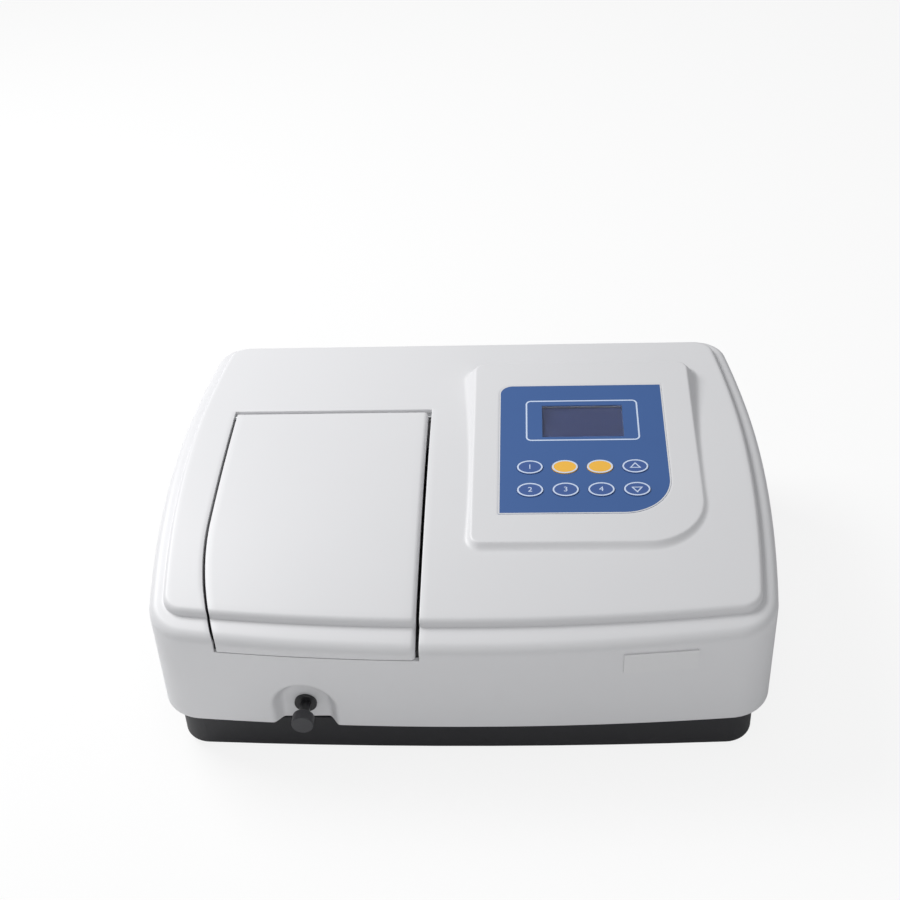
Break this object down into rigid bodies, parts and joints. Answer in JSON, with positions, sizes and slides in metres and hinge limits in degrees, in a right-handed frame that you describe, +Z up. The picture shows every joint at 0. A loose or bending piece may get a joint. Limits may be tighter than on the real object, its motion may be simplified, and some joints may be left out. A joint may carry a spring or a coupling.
{
  "type": "uv-vis spectrophotometer",
  "caption": "Bench spectrophotometer with a hinged sample lid, sloping keypad console, sliding cell holder on a pull rod and a scanning monochromator inside.",
  "frame": {"origin": "centre of the bounding box, on the surface the feet stand on", "axes": "+X to the user's right, +Y to the back, +Z up"},
  "size_m": [0.483, 0.37, 0.1713],
  "materials": {
    "shell_white": "fine satin moulded",
    "base_charcoal": "fine textured charcoal paint",
    "black_rubber": "matt",
    "black_plastic": "satin",
    "knob_grey": "satin with a lighter rim",
    "plate_white": "bare satin plate",
    "panel_blue": "satin printed film",
    "key_blue": "satin with a pale printed outline",
    "key_yellow": "satin with a pale printed outline",
    "display_glass": "clear",
    "display_dark": "unlit display",
    "chamber_black": "matt black, light-absorbing",
    "anodised_black": "black anodised",
    "cast_aluminium": "as cast with machined faces",
    "plain_steel": "zinc plated",
    "optic_mirror": "front-coated",
    "quartz": "clear fused silica",
    "circuit_green": "solder mask",
    "lamp_glass": "clear bulb"
  },
  "bodies": {
    "chassis": {"base_tray": "base_charcoal", "rubber_feet": "black_rubber", "cover_screws": "plain_steel", "top_cover": "shell_white", "front_plate": "plate_white", "sample_chamber": "chamber_black", "chamber_seal": "black_rubber", "beam_windows": "quartz", "carriage_rails": "plain_steel", "rod_bush": "black_plastic", "keypad_overlay": "panel_blue", "lcd_window": "display_glass", "lcd_module": "display_dark", "keypad_board": "circuit_green", "optical_bed": "cast_aluminium", "monochromator_housing": "cast_aluminium", "monochromator_cover": "cast_aluminium", "entrance_slit": "anodised_black", "exit_slit": "anodised_black", "collimating_mirror": "optic_mirror", "focusing_mirror": "optic_mirror", "mirror_mounts": "anodised_black", "grating_pivot": "plain_steel", "wavelength_motor": "black_plastic", "lamp_house": "anodised_black", "tungsten_lamp": "lamp_glass", "deuterium_lamp": "lamp_glass", "lamp_mirror_motor": "plain_steel", "filter_motor": "plain_steel", "detector_housing": "anodised_black", "photodiode": "plain_steel", "rear_panel": "plain_steel", "mains_inlet": "black_plastic", "data_socket": "plain_steel", "power_switch": "black_plastic", "fan_frame": "black_plastic", "power_supply": "plain_steel", "main_board": "circuit_green"},
    "lid": {"sample_lid": "shell_white", "lid_hinge_pins": "plain_steel"},
    "cell_slide": {"cell_carriage": "anodised_black", "pull_rod": "black_plastic", "rod_knob": "knob_grey"},
    "grating": {"grating_table": "cast_aluminium", "diffraction_grating": "optic_mirror"},
    "wavelength_drive": {"wavelength_push_rod": "plain_steel"},
    "filter_turret": {"filter_wheel": "anodised_black", "optical_filters": "quartz"},
    "lamp_selector": {"lamp_mirror": "optic_mirror"},
    "rocker": {"power_rocker": "black_plastic"},
    "fan": {"fan_rotor": "black_plastic"},
    "key_1_button": {"key_1": "key_blue"},
    "key_yellow_left_button": {"key_yellow_left": "key_yellow"},
    "key_yellow_right_button": {"key_yellow_right": "key_yellow"},
    "key_up_button": {"key_up": "key_blue"},
    "key_2_button": {"key_2": "key_blue"},
    "key_3_button": {"key_3": "key_blue"},
    "key_4_button": {"key_4": "key_blue"},
    "key_down_button": {"key_down": "key_blue"}
  },
  "joints": [
    {"name": "lid_hinge", "type": "hinge", "parent": "chassis", "child": "lid", "pos_m": [-0.1135, 0.0685, 0.1565], "axis": [-1, 0, 0], "range_deg": [0, 88]},
    {"name": "cell_slide_pull", "type": "slide", "parent": "chassis", "child": "cell_slide", "axis": [0, -1, 0], "range_m": [0, 0.054]},
    {"name": "grating_turn", "type": "hinge", "parent": "chassis", "child": "grating", "pos_m": [-0.004, 0.043, 0.045], "axis": [0, 0, 1], "range_deg": [-8, 8]},
    {"name": "wavelength_drive_push", "type": "slide", "parent": "chassis", "child": "wavelength_drive", "axis": [0, 1, 0], "range_m": [-0.0098, 0.0098]},
    {"name": "filter_turn", "type": "hinge", "parent": "chassis", "child": "filter_turret", "pos_m": [-0.053, 0.104, 0.056], "axis": [1, 0, 0], "continuous": true},
    {"name": "lamp_mirror_turn", "type": "hinge", "parent": "chassis", "child": "lamp_selector", "pos_m": [-0.106, 0.104, 0.055], "axis": [0, 0, -1], "range_deg": [0, 90]},
    {"name": "power_rocker_tilt", "type": "hinge", "parent": "chassis", "child": "rocker", "pos_m": [0.118, 0.1805, 0.084], "axis": [-1, 0, 0], "range_deg": [0, 16]},
    {"name": "fan_spin", "type": "hinge", "parent": "chassis", "child": "fan", "pos_m": [-0.106, 0.1755, 0.082], "axis": [0, 1, 0], "continuous": true},
    {"name": "key_1_press", "type": "slide", "parent": "chassis", "child": "key_1_button", "axis": [0, 0.0958, -0.9954], "range_m": [0, 0.0005], "stiffness_N_per_m": 400, "springref_m": -0.0005},
    {"name": "key_yellow_left_press", "type": "slide", "parent": "chassis", "child": "key_yellow_left_button", "axis": [0, 0.0958, -0.9954], "range_m": [0, 0.0005], "stiffness_N_per_m": 400, "springref_m": -0.0005},
    {"name": "key_yellow_right_press", "type": "slide", "parent": "chassis", "child": "key_yellow_right_button", "axis": [0, 0.0958, -0.9954], "range_m": [0, 0.0005], "stiffness_N_per_m": 400, "springref_m": -0.0005},
    {"name": "key_up_press", "type": "slide", "parent": "chassis", "child": "key_up_button", "axis": [0, 0.0958, -0.9954], "range_m": [0, 0.0005], "stiffness_N_per_m": 400, "springref_m": -0.0005},
    {"name": "key_2_press", "type": "slide", "parent": "chassis", "child": "key_2_button", "axis": [0, 0.0958, -0.9954], "range_m": [0, 0.0005], "stiffness_N_per_m": 400, "springref_m": -0.0005},
    {"name": "key_3_press", "type": "slide", "parent": "chassis", "child": "key_3_button", "axis": [0, 0.0958, -0.9954], "range_m": [0, 0.0005], "stiffness_N_per_m": 400, "springref_m": -0.0005},
    {"name": "key_4_press", "type": "slide", "parent": "chassis", "child": "key_4_button", "axis": [0, 0.0958, -0.9954], "range_m": [0, 0.0005], "stiffness_N_per_m": 400, "springref_m": -0.0005},
    {"name": "key_down_press", "type": "slide", "parent": "chassis", "child": "key_down_button", "axis": [0, 0.0958, -0.9954], "range_m": [0, 0.0005], "stiffness_N_per_m": 400, "springref_m": -0.0005}
  ],
  "couplings": [
    {"joint": "wavelength_drive_push", "follows": "grating_turn", "m_per_rad": 0.07}
  ]
}
